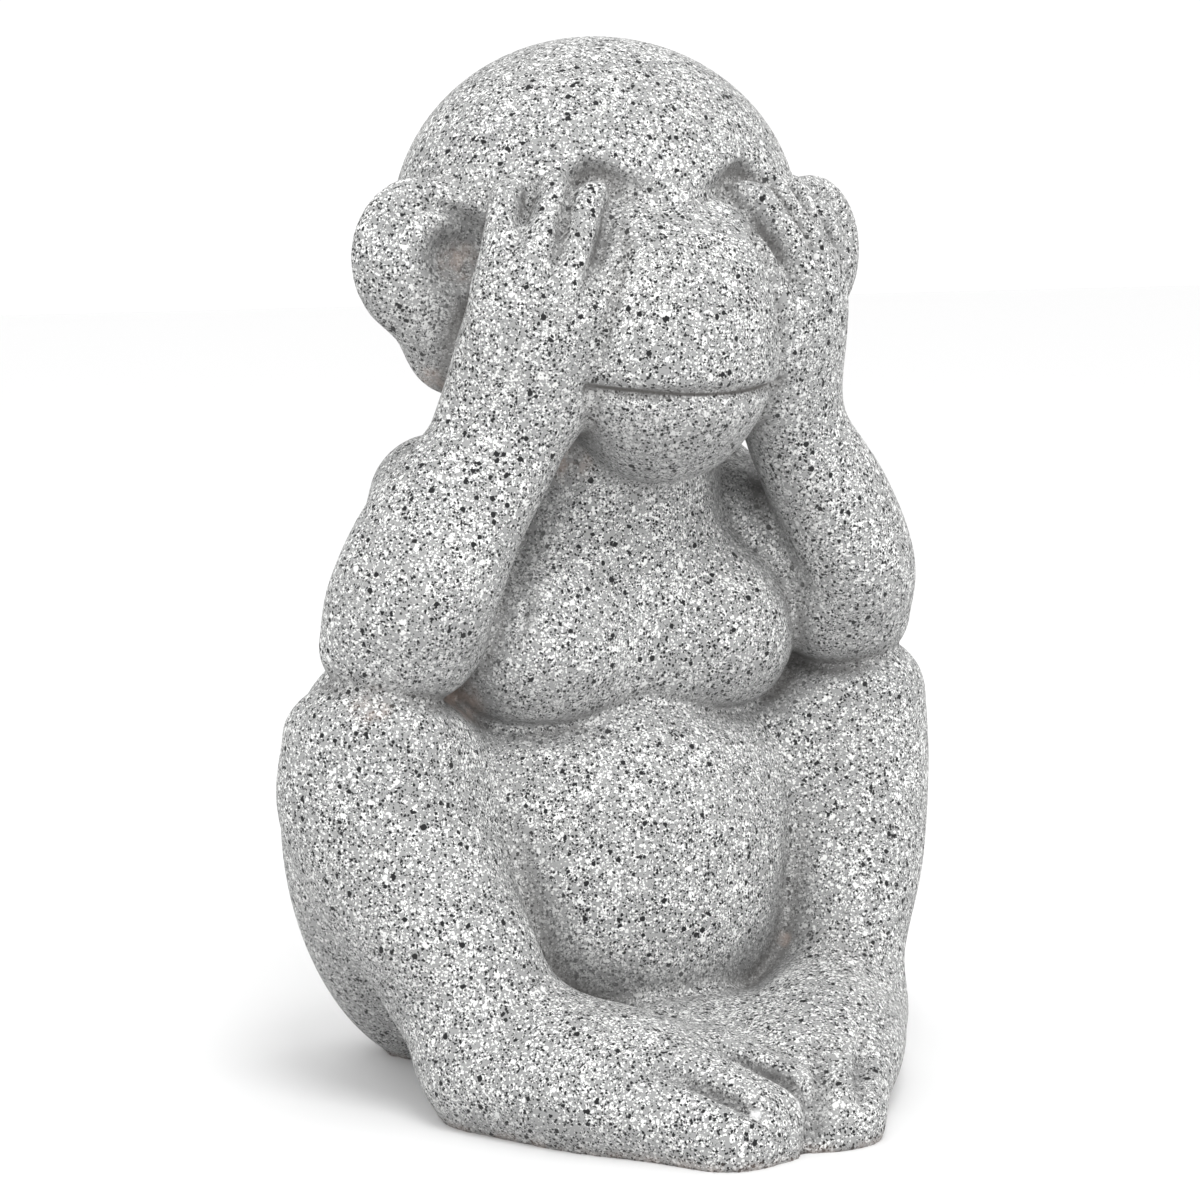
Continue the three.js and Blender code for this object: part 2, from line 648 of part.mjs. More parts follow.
const granitePaint = new THREE.MeshStandardMaterial({ color: 0xb4b4b2, roughness: 0.85, metalness: 0 });
const monkey = new THREE.Mesh(await standing(makeSkin()), granitePaint);
monkey.name = 'monkey_statue';

const statue = new THREE.Group();
statue.add(monkey);

export default statue;
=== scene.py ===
"""A garden statue of a seated monkey with its hands up to its temples, cast as one piece in speckled grey."""
import math
from concurrent.futures import ThreadPoolExecutor

import bpy
import numpy as np
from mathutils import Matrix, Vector


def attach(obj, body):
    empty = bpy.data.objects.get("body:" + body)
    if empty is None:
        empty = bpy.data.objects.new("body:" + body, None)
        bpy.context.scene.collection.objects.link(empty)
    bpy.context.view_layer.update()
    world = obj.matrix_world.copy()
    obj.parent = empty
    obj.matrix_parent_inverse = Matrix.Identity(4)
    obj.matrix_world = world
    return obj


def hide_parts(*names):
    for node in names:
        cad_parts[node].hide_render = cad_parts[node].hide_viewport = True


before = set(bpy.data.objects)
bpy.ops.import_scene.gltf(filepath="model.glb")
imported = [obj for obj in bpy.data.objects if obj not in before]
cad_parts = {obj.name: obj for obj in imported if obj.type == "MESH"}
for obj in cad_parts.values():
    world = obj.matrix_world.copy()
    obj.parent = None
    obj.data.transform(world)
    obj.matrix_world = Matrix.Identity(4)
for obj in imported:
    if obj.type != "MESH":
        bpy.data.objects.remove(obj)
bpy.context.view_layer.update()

# Sizes. The forms are set out in units, hundredths of the statue's height, and its face looks along -Y.
UNIT = 0.004
MIDDLE_Y = -10.2
CELL = 0.58
BLOCK = 3
LOWEST = np.array([-38.0, -43.0, -8.0])
HIGHEST = np.array([38.0, 24.0, 103.0])
CURVE_STEPS = 8
RELAX_ROUNDS = 8
LEEWAY = 0.9


# Forms. A form gives the signed distance from each of an array of points to its surface, negative inside.
def point(*values):
    return np.array(values, np.float32)


def ellipsoid(centre, radii, turn=0):
    """An ellipsoid turned about the upright through its centre, in degrees."""
    angle = math.radians(turn)
    spin = point(math.cos(angle), -math.sin(angle), 0, math.sin(angle), math.cos(angle), 0, 0, 0, 1).reshape(3, 3)
    middle = point(*centre)
    size = point(*radii)

    def form(p):
        q = (p - middle) @ spin if turn else p - middle
        near = np.sqrt(((q / size) ** 2).sum(1))
        steep = np.sqrt(((q / (size * size)) ** 2).sum(1))
        return near * (near - 1) / np.maximum(steep, 1e-6)
    return form


def limb(start, end, start_radius, end_radius):
    """A round limb that tapers from one bead to the next."""
    a = point(*start)
    along = point(*end) - a
    reach = float(along @ along) + 1e-9

    def form(p):
        share = np.clip(((p - a) @ along) / reach, 0, 1)
        away = p - a - share[:, None] * along
        return np.sqrt((away ** 2).sum(1)) - (start_radius + (end_radius - start_radius) * share)
    return form


def smoothed(beads, steps=CURVE_STEPS):
    """The beads with more of them between, on one smooth curve."""
    if len(beads) < 3:
        return np.array(beads, float)
    b = np.array(beads, float)
    b = np.vstack([2 * b[0] - b[1], b, 2 * b[-1] - b[-2]])
    curve = []
    for i in range(1, len(b) - 2):
        p0, p1, p2, p3 = b[i - 1:i + 3]
        for t in np.arange(steps) / steps:
            bend = (p2 - p0) * t + (2 * p0 - 5 * p1 + 4 * p2 - p3) * t ** 2 + (3 * p1 - p0 - 3 * p2 + p3) * t ** 3
            curve.append(p1 + bend / 2)
    curve.append(b[-2])
    return np.array(curve)


def curved_limb(beads, steps=CURVE_STEPS):
    curve = smoothed(beads, steps)
    parts = [limb(p[:3], q[:3], p[3], q[3]) for p, q in zip(curve[:-1], curve[1:])]

    def form(p):
        nearest = parts[0](p)
        for part in parts[1:]:
            nearest = np.minimum(nearest, part(p))
        return nearest
    return form


def wide_limb(beads, way, factor):
    """A curved limb whose section is wider one way than across it."""
    w = point(*way)
    w = w / np.linalg.norm(w)

    def squeezed(p):
        return p + ((1 / factor - 1) * (p @ w))[:, None] * w
    centres = squeezed(np.array([bead[:3] for bead in beads], np.float32))
    inner = curved_limb([tuple(centre) + (bead[3],) for centre, bead in zip(centres, beads)])
    return lambda p: inner(squeezed(p))


def soft_minimum(a, b, fillet):
    blend = np.maximum(fillet - np.abs(a - b), 0) / fillet
    return np.minimum(a, b) - blend * blend * fillet / 4


def joined(fillet, *forms):
    def form(p):
        whole = forms[0](p)
        for part in forms[1:]:
            whole = soft_minimum(whole, part(p), fillet)
        return whole
    return form


def carved(rounding, form, tool):
    return lambda p: -soft_minimum(-form(p), tool(p), rounding)


def mirrored(form):
    flip = point(-1, 1, 1)
    return lambda p: form(p * flip)


def pair(fillet, form):
    return joined(fillet, form, mirrored(form))


def grooved(form, line, facing, width, depth):
    """The form with a rounded groove pressed in along a line, whose fourth value is its share of the depth.

    The line may lie a little in front of the surface or behind it, along the way that the surface faces.
    """
    curve = smoothed(line)
    low = curve[:, :3].min(0) - 3 * width
    high = curve[:, :3].max(0) + 3 * width
    face = point(*facing)
    face = face / np.linalg.norm(face)

    def cut(p):
        value = form(p)
        close = ((p > low) & (p < high)).all(1)
        if not close.any():
            return value
        q = p[close]
        deepest = np.zeros(len(q))
        for start, end in zip(curve[:-1], curve[1:]):
            a = start[:3]
            along = end[:3] - a
            share = np.clip(((q - a) @ along) / (along @ along + 1e-9), 0, 1)
            away = q - a - share[:, None] * along
            gap = (away ** 2).sum(1) - LEEWAY * (away @ face) ** 2
            level = start[3] + (end[3] - start[3]) * share
            deepest = np.maximum(deepest, level * np.exp(-gap / width ** 2))
        value = value.copy()
        value[close] += (deepest * depth).astype(np.float32)
        return value
    return cut


def both_grooved(form, line, facing, width, depth):
    form = grooved(form, line, facing, width, depth)
    other = [(-x, y, z, share) for x, y, z, share in line]
    return grooved(form, other, (-facing[0], facing[1], facing[2]), width, depth)


# The monkey. Left and right are as seen from the front, and what is given once stands at +X and is mirrored.
def make_haunch():
    barrel = ellipsoid((17.6, 6.6, 20.5), (12.4, 12.6, 22))

    def leaning(p):
        rise = p[:, 2] - 20.5
        return barrel(p - np.stack([0.2 * rise, -0.17 * rise, 0 * rise], 1))
    return joined(4, leaning, limb((12, 7, 27), (23.5, 1, 33), 8, 6.5))


def make_trunk():
    seat = joined(5, ellipsoid((0, 4, 18), (18.5, 16, 22)), pair(4, make_haunch()))
    belly = joined(6, ellipsoid((0, -0.5, 17), (18.2, 17, 21)), ellipsoid((0, 0.5, 26), (19.2, 14.2, 11.6)))
    seat = joined(6, seat, belly)
    back = joined(4, ellipsoid((0, 5.5, 43), (18.5, 15, 21)), ellipsoid((0, 8, 51), (17.5, 11, 11.5)))
    chest = joined(3, back, pair(5, ellipsoid((8.8, -0.9, 42.7), (11.4, 11, 10.4))))
    whole = joined(0.6, chest, seat)
    behind = joined(8, ellipsoid((0, 8.5, 43), (17, 12, 21)), ellipsoid((0, 7, 18), (17, 13, 22)))
    return joined(1, whole, behind)


def make_head():
    skull = joined(3, ellipsoid((0, 0.3, 82), (20.8, 15.5, 18.1)), ellipsoid((0, 4.5, 81.5), (17.5, 15, 17)))
    skull = joined(5, skull, ellipsoid((0, -3.5, 74), (15, 11.5, 12)))
    skull = carved(0.8, skull, pair(0.1, limb((8.6, -14.3, 86.5), (2.8, -16.3, 84.5), 2.7, 2)))
    muzzle = joined(4, ellipsoid((0, -12.3, 71), (11.3, 9.6, 13)), pair(3, ellipsoid((3, -12.2, 76.8), (5.2, 7.4, 6))))
    muzzle = carved(0.5, muzzle, lambda p: p[:, 2] - 67.6)
    jaw = joined(3, ellipsoid((0, -11.8, 68.4), (10.7, 9.2, 8)), ellipsoid((0, -11.4, 65), (7.6, 8.2, 6.8)))
    return joined(0.8, joined(2, skull, muzzle), jaw)


def make_ear():
    shell = ellipsoid((21.6, -4, 79.4), (6.4, 3.2, 7.5), 14)
    lobe = ellipsoid((17.4, -3.5, 72.2), (5.2, 4, 5.7), 20)
    return joined(3, shell, lobe)


def make_arm():
    upper = curved_limb([(14.4, 6.6, 55.4, 6.7), (19, 1, 50, 6.6), (24.6, -5, 44.2, 6.2)])
    upper = joined(2, upper, limb((14.5, -1, 53), (21.5, -6, 45), 5, 5.2))
    forearm = wide_limb([
        (25.5, -6.6, 43.6, 5.4), (24.5, -7.9, 48.5, 5.9), (21.6, -8.4, 55, 5.6),
        (16.8, -9.4, 62, 4.8), (14.8, -10.2, 66.5, 4.6), (14.2, -11, 70.5, 4),
    ], (0.8, 0.6, 0), 1.35)
    return joined(2.5, joined(1.6, upper, forearm), make_hand())


FINGERS = [
    ((17.5, -11.6, 77), (15.3, -10.2, 84.7)),
    ((15.2, -13.3, 76.5), (11.5, -11.7, 85.5)),
    ((12.4, -14.6, 76), (7.8, -12.9, 84.5)),
    ((9.4, -15.3, 75), (4.7, -13.6, 82.6)),
]
FINGER_GAPS = [
    [(13.3, -11, 87, 0.5), (15.6, -13.4, 83.4, 1), (17.4, -15, 80.1, 0.2)],
    [(9.9, -12.5, 87.6, 0.5), (12.6, -15, 82.2, 1), (15.2, -17.2, 77.2, 0.4)],
    [(7.0, -14.6, 85, 1), (9.8, -16.6, 80, 1), (12.2, -18.1, 75.5, 0.4)],
]


def make_hand():
    palm = wide_limb([
        (14.8, -10.4, 66, 3.4), (14.5, -12.2, 71, 3.8), (14, -13.5, 76, 3.7),
        (12.3, -13.8, 80, 3.3), (10.4, -12.9, 84, 2.4),
    ], (0.93, 0.37, 0), 1.75)
    fingers = joined(0.5, *[limb(base, tip, 2.2, 2) for base, tip in FINGERS])
    hand = joined(1, palm, fingers)
    for gap in FINGER_GAPS:
        hand = grooved(hand, gap, (0.45, -0.89, 0), 0.8, 1.6)
    return hand


def make_shin():
    return wide_limb([
        (28, -5.3, 34.8, 6), (27.7, -5.4, 28, 6.6), (25, -8.4, 20, 6.7),
        (22.2, -11.2, 14.5, 6.2), (20.2, -12.6, 9, 5.7), (18.2, -12.5, 4, 4.8),
    ], (0.6, 0.8, 0), 1.4)


LEFT_FOOT = [(17.2, -14.3, 4.8, 6.8), (11, -22.8, 4.8, 6.8), (6.6, -29.5, 3.4, 5.6), (3.8, -35.4, 1.8, 4.3)]
RIGHT_FOOT = [(18.4, -14.3, 4.8, 7.2), (13.2, -23.6, 4.4, 7.4), (8.9, -30.2, 3.2, 6.5), (6.5, -35.2, 1.8, 5.6)]
LEFT_TOE_GAPS = [
    [(10.4, -31.8, 9.2, 0.2), (9, -33.6, 7.6, 0.6), (7.4, -35, 6, 0.8), (5.8, -36.4, 4.6, 0.8), (4.4, -37.8, 3, 0.5)],
]
RIGHT_TOE_GAPS = [
    [(13.4, -33, 8.2, 0.3), (10.1, -35.3, 6.2, 1), (7.8, -38.2, 4.9, 1), (6.8, -39.4, 4.3, 0.6)],
    [(6.5, -32, 9, 0.3), (3.1, -33.5, 6.4, 1), (0.6, -36.6, 4.6, 1), (0.4, -37.7, 3.9, 0.8)],
]
FEET_GAP = [(4.2, -32.6, 7.9, 0.3), (2.7, -35.6, 6.4, 0.8), (1.1, -38.2, 4.5, 1), (-0.2, -39, 2.6, 1), (-1.4, -39.6, 1.1, 0.8)]
TOES_FACE = (0.1, -0.75, 0.65)


def make_leg(sole, big_toe, toe_gaps):
    foot = wide_limb(sole, (0.87, -0.5, 0), 1.2)
    foot = joined(2.5, foot, curved_limb([(2.5, -15, 2.5, 7.5), (2.5, -24, 2, 6.8), (2, -31, 1, 5.6), (2, -35, 0.5, 4.4)]))
    leg = joined(4, make_shin(), limb((21.8, -3.6, 31), (18.4, -6, 13), 7, 7))
    leg = joined(3.5, leg, foot)
    leg = joined(1.5, leg, big_toe)
    for line in toe_gaps:
        leg = grooved(leg, line, TOES_FACE, 0.9, 1.4)
    return leg


EAR_FOLD = [
    (25.4, -5.6, 80.2, 0.3), (25, -5.9, 82.2, 1), (23.3, -6.1, 84.2, 1),
    (20.6, -6.5, 84.1, 1), (18.5, -7, 83.2, 1), (17.3, -7.8, 81.8, 0.8),
]
LIPS = [(-11.5, -11, 68.2, 0.6), (-9.4, -16.5, 67.6, 1), (0, -21.3, 67.1, 1), (9.4, -16.5, 67.6, 1), (11.5, -11, 68.2, 0.6)]
MUZZLE_EDGE = [
    (6.5, -16.3, 81.2, 0.5), (7.9, -17.2, 77.5, 1), (8.9, -17.2, 74, 1), (9.6, -16.8, 70.8, 0.8), (9.9, -16.5, 69, 0.3),
]
ARMPIT = [(-13, -9.7, 47.6, 0.3), (-13.9, -10.1, 46.1, 1), (-14.6, -10.2, 44.3, 0.4)]
HAUNCH_EDGE = [
    (33, 2.5, 24, 0.2), (30.4, 2.9, 18.6, 0.8), (28.2, 0.6, 12.8, 1), (26.8, -4, 8.2, 1), (26.4, -8.5, 5.6, 0.5),
]
BREAST_LINE = [
    (17.5, -5.2, 36.2, 0.4), (14, -7.6, 34.9, 1), (9.1, -10, 34.3, 1), (5, -11.4, 34.7, 1), (1.6, -11.6, 35.9, 0.8), (0, -11.6, 36.6, 0.3),
]


def make_monkey():
    body = joined(4, make_trunk(), limb((0, 4, 54), (0, 3, 70), 13.2, 13.8))
    body = joined(1.5, body, make_head())
    body = joined(1.6, body, pair(0.5, make_ear()))
    body = carved(1.6, body, pair(0.1, ellipsoid((19, -8.6, 79.7), (3.8, 3.3, 3.2))))
    body = both_grooved(body, EAR_FOLD, (0.2, -1, 0.1), 0.75, 1.1)
    body = both_grooved(body, BREAST_LINE, (0.3, -1, -0.5), 0.8, 0.7)
    left_leg = make_leg(LEFT_FOOT, limb((4.5, -28, 4.5), (3.6, -34.6, 2.6), 4.6, 3.8), LEFT_TOE_GAPS)
    right_leg = make_leg(RIGHT_FOOT, limb((4, -28.5, 5.4), (0.6, -35, 3.8), 4, 3.3), RIGHT_TOE_GAPS)
    legs = grooved(joined(1, left_leg, mirrored(right_leg)), FEET_GAP, TOES_FACE, 0.9, 1.2)
    body = joined(1.4, body, legs)
    body = both_grooved(body, HAUNCH_EDGE, (0.9, -0.4, 0), 1.1, 1.5)
    body = joined(0.8, body, pair(0.5, make_arm()))
    body = both_grooved(body, MUZZLE_EDGE, (0.45, -0.89, 0), 0.6, 0.4)
    body = grooved(body, ARMPIT, (-0.5, -0.85, 0), 0.6, 0.5)
    return grooved(body, LIPS, (0, -1, 0), 0.45, 0.5)


# The skin: quads on a fine grid, then relaxed and drawn onto the true surface.
monkey = make_monkey()


def measured(points):
    """The distance at each point, worked out in batches side by side."""
    batches = np.array_split(np.asarray(points, np.float32), max(4, len(points) // 20000))
    with ThreadPoolExecutor(4) as workers:
        return np.concatenate(list(workers.map(monkey, batches)))


def measured_grid():
    """Distances at the grid's corners, exact near the surface and only told in from out elsewhere."""
    blocks = np.ceil((HIGHEST - LOWEST) / CELL / BLOCK).astype(int)
    middles = np.stack(np.meshgrid(*[np.arange(n) for n in blocks], indexing="ij"), -1).reshape(-1, 3)
    centres = LOWEST + (middles * BLOCK + (BLOCK - 1) / 2) * CELL
    rough = measured(centres)
    grid = np.repeat(np.repeat(np.repeat(rough.reshape(blocks), BLOCK, 0), BLOCK, 1), BLOCK, 2)
    close = middles[np.abs(rough) < BLOCK * CELL * 1.6]
    steps = np.stack(np.meshgrid(*[np.arange(BLOCK)] * 3, indexing="ij"), -1).reshape(-1, 3)
    corners = (close[:, None, :] * BLOCK + steps[None]).reshape(-1, 3)
    grid[tuple(corners.T)] = measured(LOWEST + corners * CELL)
    heights = LOWEST[2] + np.arange(grid.shape[2]) * CELL
    return np.maximum(grid, -heights[None, None, :])


def netted(grid):
    """A point in every cell that the surface crosses, and a quad for every grid edge that it crosses."""
    inside = grid < 0
    cells = np.zeros(np.array(grid.shape) - 1, np.int8)
    corner_steps = [(i, j, k) for i in (0, 1) for j in (0, 1) for k in (0, 1)]
    for i, j, k in corner_steps:
        cells += inside[i:i + cells.shape[0], j:j + cells.shape[1], k:k + cells.shape[2]]
    crossed = np.argwhere((cells > 0) & (cells < 8))
    number = np.full(cells.shape, -1)
    number[tuple(crossed.T)] = np.arange(len(crossed))
    total = np.zeros((len(crossed), 3))
    count = np.zeros(len(crossed))
    for start in corner_steps:
        for axis in range(3):
            if start[axis]:
                continue
            end = list(start)
            end[axis] = 1
            a = grid[tuple((crossed + start).T)]
            b = grid[tuple((crossed + end).T)]
            cut = (a < 0) != (b < 0)
            share = a[cut] / (a[cut] - b[cut])
            spot = (crossed + start)[cut].astype(float)
            spot[:, axis] += share
            total[cut] += spot
            count[cut] += 1
    points = LOWEST + total / count[:, None] * CELL
    quads = []
    for axis in range(3):
        first, second = [(1, 2), (2, 0), (0, 1)][axis]
        ahead = np.roll(inside, -1, axis)
        edges = np.argwhere(inside != ahead)
        edges = edges[(edges > 0).all(1) & (edges < np.array(inside.shape) - 1).all(1)]
        ring = []
        for u, v in ((1, 1), (0, 1), (0, 0), (1, 0)):
            back = edges.copy()
            back[:, first] -= u
            back[:, second] -= v
            ring.append(number[tuple(back.T)])
        ring = np.stack(ring, 1)
        entering = ~inside[tuple(edges.T)]
        ring[entering] = ring[entering][:, ::-1]
        quads.append(ring)
    return points, np.concatenate(quads)


def normals_of(points, quads):
    across = points[quads[:, 2]] - points[quads[:, 0]]
    other = points[quads[:, 3]] - points[quads[:, 1]]
    flat = np.cross(across, other)
    total = np.zeros_like(points)
    for corner in range(4):
        for axis in range(3):
            total[:, axis] += np.bincount(quads[:, corner], flat[:, axis], len(points))
    return total / np.maximum(np.linalg.norm(total, axis=1), 1e-9)[:, None]


def neighbours_mean(points, quads):
    total = np.zeros_like(points)
    count = np.zeros(len(points))
    for corner in range(4):
        for step in (1, 3):
            other = quads[:, (corner + step) % 4]
            count += np.bincount(quads[:, corner], minlength=len(points))
            for axis in range(3):
                total[:, axis] += np.bincount(quads[:, corner], points[other, axis], len(points))
    return total / count[:, None]


def drawn_skin():
    points, quads = netted(measured_grid())
    for _ in range(RELAX_ROUNDS):
        grounded = points[:, 2] < CELL * 0.6
        normals = normals_of(points, quads)
        slide = neighbours_mean(points, quads) - points
        slide -= (slide * normals).sum(1)[:, None] * normals
        moved = points + 0.5 * slide
        distance = np.clip(measured(moved), -CELL / 2, CELL / 2)
        moved -= normals * distance[:, None]
        moved[grounded, 2] = 0
        moved[:, 2] = np.maximum(moved[:, 2], 0)
        points = moved
    return points, quads


points, quads = drawn_skin()
normals = normals_of(points, quads)

# How closed in each place is, from how little room there is in front of it: 0 is open and 1 is deep in a fold. These
# thin the flecks and set where shade is painted into the colour.
near_room = np.clip(measured(points + normals * 1.2) / 1.2, 0, 1)
wide_room = np.clip(measured(points + normals * 5) / 5, 0, 1)
fold = 1 - near_room
shelter = 1 - wide_room
under = np.clip(-normals[:, 2], 0, 1)


def spotted(spots):
    """How much each place lies in one of a few round spots, fading out to their edges."""
    share = np.zeros(len(points))
    for (x, y, z), radius in spots:
        near = 1 - np.linalg.norm(points - [x, y, z], axis=1) / radius
        share = np.maximum(share, np.clip(near * 1.6, 0, 1))
    return share


# Where the warm first coat shows through: ears, armpits, elbows, behind the jaw, and the edge of the underside.
WARM_SPOTS = [
    ((-18.5, -5.3, 78.8), 2.6), ((-18.8, -5.2, 37.5), 3.2), ((-29.9, -9.7, 38.8), 2.2), ((13.3, -13.2, 12.7), 0.9),
    ((-20.9, -4.7, 67.5), 2.2), ((-7.6, -7.5, 60.3), 2.5), ((18.5, -5.3, 78.8), 2.6), ((20, -3, 67), 2.2),
]
CHIPS = [((-1.4, -38.1, 4.4), 0.75), ((-6.7, -39.3, 4.5), 0.6)]
warmth = np.maximum(spotted(WARM_SPOTS), 0.6 * np.clip(1 - points[:, 2] / 1.1, 0, 1))
chips = spotted(CHIPS)


def pressed(lines, facing, width):
    """How deep each place lies in grooves along the lines, 1 at their middles."""
    return np.max([grooved(lambda p: np.zeros(len(p)), line, facing, width, 1)(points) for line in lines], 0)


# How deep each place lies in the grooves between fingers and toes; the paint darkens these grooves as painted shade.
mirror_gaps = [[(-x, y, z, share) for x, y, z, share in line] for line in FINGER_GAPS]
crease_shade = np.max([
    pressed(FINGER_GAPS, (0.45, -0.89, 0), 0.5),
    pressed(mirror_gaps, (-0.45, -0.89, 0), 0.5),
    pressed(LEFT_TOE_GAPS + [FEET_GAP], TOES_FACE, 0.6),
    pressed([[(-x, y, z, share) for x, y, z, share in line] for line in RIGHT_TOE_GAPS], (-TOES_FACE[0], *TOES_FACE[1:]), 0.6),
], 0)

mesh = bpy.data.meshes.new("statue_skin")
mesh.from_pydata(((points - [0, MIDDLE_Y, 0]) * UNIT).tolist(), [], quads.tolist())
mesh.polygons.foreach_set("use_smooth", np.ones(len(quads), bool))
for name, values in (("fold", fold), ("shelter", shelter), ("under", under), ("warmth", warmth), ("chips", chips), ("crease_shade", crease_shade)):
    layer = mesh.attributes.new(name, "FLOAT", "POINT")
    layer.data.foreach_set("value", values.astype(np.float32))
mesh.update()
statue = bpy.data.objects.new("statue", mesh)
bpy.context.scene.collection.objects.link(statue)


# Material: pale grey stone paint with white and black flecks, with shade painted into hollows, folds, creases and
# undersides.
def new_material(name):
    material = bpy.data.materials.new(name)
    material.use_nodes = True
    material.node_tree.nodes.clear()
    return material, material.node_tree


class Graph:
    """Adds nodes to a material's tree, and joins what is handed in to their sockets."""

    def __init__(self, tree):
        self.tree = tree

    def node(self, kind, settings=None, **inputs):
        made = self.tree.nodes.new(kind)
        for key, value in (settings or {}).items():
            setattr(made, key, value)
        for key, value in inputs.items():
            self.feed(made.inputs[key.replace("_", " ")], value)
        return made

    def feed(self, socket, value):
        if isinstance(value, bpy.types.NodeSocket):
            self.tree.links.new(value, socket)
        else:
            socket.default_value = value

    def math(self, operation, a, b=0.0, c=0.0, clamp=False):
        made = self.tree.nodes.new("ShaderNodeMath")
        made.operation = operation
        made.use_clamp = clamp
        for socket, value in zip(made.inputs, (a, b, c)):
            self.feed(socket, value)
        return made.outputs[0]

    def ramp(self, value, low, high, bottom=0.0, top=1.0):
        made = self.node("ShaderNodeMapRange", {"interpolation_type": "SMOOTHSTEP"}, Value=value)
        for key, number in (("From Min", low), ("From Max", high), ("To Min", bottom), ("To Max", top)):
            self.feed(made.inputs[key], number)
        return made.outputs[0]

    def mix(self, share, first, second):
        made = self.tree.nodes.new("ShaderNodeMix")
        made.data_type = "RGBA"
        self.feed(made.inputs[0], share)
        self.feed(made.inputs[6], first)
        self.feed(made.inputs[7], second)
        return made.outputs[2]

    def noise(self, place, scale, detail=2.0, roughness=0.5):
        return self.node("ShaderNodeTexNoise", None, Vector=place, Scale=scale, Detail=detail, Roughness=roughness).outputs[0]

    def attribute(self, name):
        return self.node("ShaderNodeAttribute", {"attribute_name": name}).outputs["Fac"]


def flecks(g, place, density, scale, white_share, black_share, size):
    """White and black flecks in shares of the texture's cells, each with a size of its own."""
    cells = g.node("ShaderNodeTexVoronoi", None, Vector=place, Scale=scale, Randomness=1.0)
    chance = g.node("ShaderNodeSeparateColor", None, Color=cells.outputs["Color"])
    pick = chance.outputs[0]
    radius = g.math("MULTIPLY_ADD", chance.outputs[1], 0.55 * size, 0.45 * size)
    distance = cells.outputs["Distance"]
    is_white = g.math("LESS_THAN", pick, g.math("MULTIPLY", density, white_share))
    is_black = g.math("GREATER_THAN", pick, 1 - black_share)
    white = g.math("MULTIPLY", is_white, g.ramp(g.math("SUBTRACT", radius, distance), -0.02, 0.03))
    smaller = g.math("MULTIPLY", radius, 0.86)
    black = g.math("MULTIPLY", is_black, g.ramp(g.math("SUBTRACT", smaller, distance), -0.03, 0.02))
    return white, black


def mouth_line_shade(g, place):
    """The painted shade of the line between the lips, which rises a little to the corners of the mouth."""
    split = g.node("ShaderNodeSeparateXYZ", None, Vector=place)
    x, y, z = split.outputs
    level = g.math("MULTIPLY_ADD", g.math("MULTIPLY", x, x), 2.08, 0.2684)
    away = g.math("ABSOLUTE", g.math("SUBTRACT", z, level))
    across = g.ramp(away, 0.0002, 0.0011, 0.9, 0)
    along = g.ramp(g.math("ABSOLUTE", x), 0.036, 0.045, 1, 0)
    return g.math("MULTIPLY", g.math("MULTIPLY", across, along), g.math("LESS_THAN", y, -0.01))


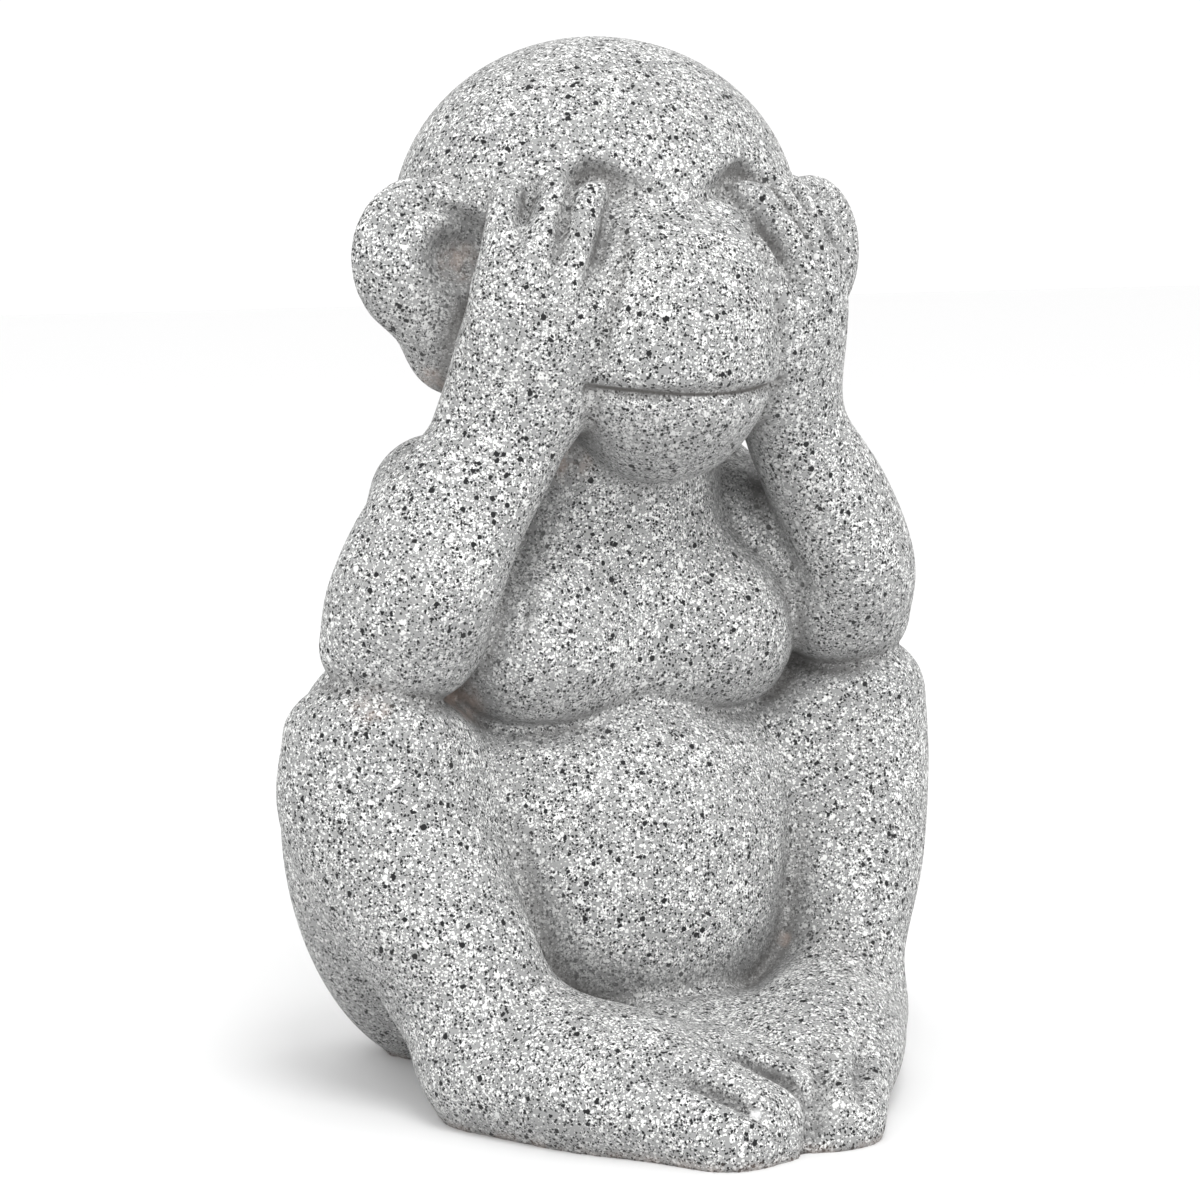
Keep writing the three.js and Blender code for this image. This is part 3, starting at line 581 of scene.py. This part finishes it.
def stone_paint():
    material, tree = new_material("granite_paint")
    g = Graph(tree)
    place = g.node("ShaderNodeTexCoord").outputs["Object"]
    wobble = g.node("ShaderNodeTexNoise", None, Vector=place, Scale=620.0, Detail=2.0, Roughness=0.6).outputs["Color"]
    shift = g.node("ShaderNodeVectorMath", {"operation": "MULTIPLY_ADD"})
    g.feed(shift.inputs[0], wobble)
    shift.inputs[1].default_value = (0.0015, 0.0015, 0.0015)
    g.feed(shift.inputs[2], place)
    rough_place = shift.outputs[0]
    density = g.ramp(g.noise(place, 45.0, 2.0), 0.3, 0.7, 0.7, 1.3)
    large = flecks(g, rough_place, density, 360.0, 0.16, 0.15, 0.5)
    middling = flecks(g, rough_place, density, 780.0, 0.4, 0.39, 0.58)
    fine = flecks(g, rough_place, density, 1400.0, 0.32, 0.3, 0.64)
    white = g.math("MAXIMUM", large[0], g.math("MAXIMUM", middling[0], fine[0]))
    black = g.math("MAXIMUM", large[1], g.math("MAXIMUM", middling[1], fine[1]))
    hidden = g.ramp(g.attribute("shelter"), 0.3, 0.95)
    below = g.ramp(g.attribute("under"), -0.1, 0.7)
    cover = g.math("MULTIPLY", g.math("MULTIPLY_ADD", hidden, -0.3, 1.0), g.math("MULTIPLY_ADD", below, -0.4, 1.0))
    clouds = g.noise(place, 30.0, 4.0)
    base = g.mix(clouds, (0.33, 0.335, 0.335, 1), (0.4, 0.4, 0.395, 1))
    colour = g.mix(g.math("MULTIPLY", white, cover), base, (0.9, 0.9, 0.89, 1))
    colour = g.mix(g.math("MULTIPLY", black, g.math("MULTIPLY_ADD", hidden, -0.3, 1.0)), colour, (0.009, 0.009, 0.01, 1))
    # Painted shade: the colour is darkened in sheltered hollows and on surfaces that face down.
    colour = g.mix(g.math("MULTIPLY", hidden, 0.35), colour, (0.1, 0.1, 0.1, 1))
    colour = g.mix(g.math("MULTIPLY", below, 0.3), colour, (0.1, 0.1, 0.1, 1))
    # Painted shade along the crease between the lips.
    colour = g.mix(mouth_line_shade(g, place), colour, (0.07, 0.065, 0.06, 1))
    # Painted shade deep in folds.
    colour = g.mix(g.ramp(g.attribute("fold"), 0.12, 0.85, 0, 0.7), colour, (0.12, 0.115, 0.11, 1))
    # Painted shade in the grooves between fingers and toes.
    colour = g.mix(g.math("MULTIPLY", g.attribute("crease_shade"), 0.6), colour, (0.1, 0.1, 0.1, 1))
    warm = g.math("MULTIPLY", g.attribute("warmth"), g.ramp(g.noise(place, 160.0, 3.0), 0.35, 0.7, 0.05, 0.6))
    colour = g.mix(warm, colour, (0.46, 0.36, 0.31, 1))
    colour = g.mix(g.attribute("chips"), colour, (0.95, 0.95, 0.95, 1))
    bump = g.node("ShaderNodeBump", None, Height=g.noise(place, 700.0, 3.0), Strength=0.4, Distance=0.0006)
    shader = g.node("ShaderNodeBsdfPrincipled", None, Roughness=0.7)
    g.feed(shader.inputs["Base Color"], colour)
    g.feed(shader.inputs["Normal"], bump.outputs[0])
    shader.inputs["Specular IOR Level"].default_value = 0.35
    output = g.node("ShaderNodeOutputMaterial")
    tree.links.new(shader.outputs[0], output.inputs[0])
    return material


mesh.materials.append(stone_paint())
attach(statue, "root")
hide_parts("monkey_statue")

# Floor, light and camera.
floor_mesh = bpy.data.meshes.new("floor")
REACH = 6.0
floor_mesh.from_pydata([(-REACH, -REACH, 0), (REACH, -REACH, 0), (REACH, REACH, 0), (-REACH, REACH, 0)], [], [(0, 1, 2, 3)])
floor = bpy.data.objects.new("floor", floor_mesh)
bpy.context.scene.collection.objects.link(floor)
floor_paint, floor_tree = new_material("floor_paint")
floor_shader = floor_tree.nodes.new("ShaderNodeBsdfPrincipled")
floor_shader.inputs["Base Color"].default_value = (0.92, 0.92, 0.92, 1)
floor_shader.inputs["Roughness"].default_value = 0.9
floor_tree.links.new(floor_shader.outputs[0], floor_tree.nodes.new("ShaderNodeOutputMaterial").inputs[0])
floor_mesh.materials.append(floor_paint)

world = bpy.data.worlds.new("studio")
world.use_nodes = True
world.node_tree.nodes["Background"].inputs["Color"].default_value = (1, 1, 1, 1)
world.node_tree.nodes["Background"].inputs["Strength"].default_value = 1.06
bpy.context.scene.world = world


def soft_light(name, place, aim, width, power):
    data = bpy.data.lights.new(name, "AREA")
    data.shape = "DISK"
    data.size = width
    data.energy = power
    lamp = bpy.data.objects.new(name, data)
    lamp.location = place
    lamp.rotation_euler = (Vector(aim) - Vector(place)).to_track_quat("-Z", "Y").to_euler()
    bpy.context.scene.collection.objects.link(lamp)


soft_light("key", (-0.35, -1.4, 2.5), (0, 0, 0.2), 1.2, 26)

PITCH = math.radians(7.55)
HEADING = math.radians(30)
eye = bpy.data.objects.new("eye", bpy.data.cameras.new("eye"))
eye.location = (-0.659, (-285.36 - MIDDLE_Y) * UNIT, 0.3572)
ahead = Vector((math.sin(HEADING) * math.cos(PITCH), math.cos(HEADING) * math.cos(PITCH), -math.sin(PITCH)))
eye.rotation_euler = ahead.to_track_quat("-Z", "Y").to_euler()
eye.data.sensor_width = 36
eye.data.lens = 3392 / 1200 * 36
bpy.context.scene.collection.objects.link(eye)
bpy.context.scene.camera = eye
bpy.context.scene.view_settings.view_transform = "Standard"
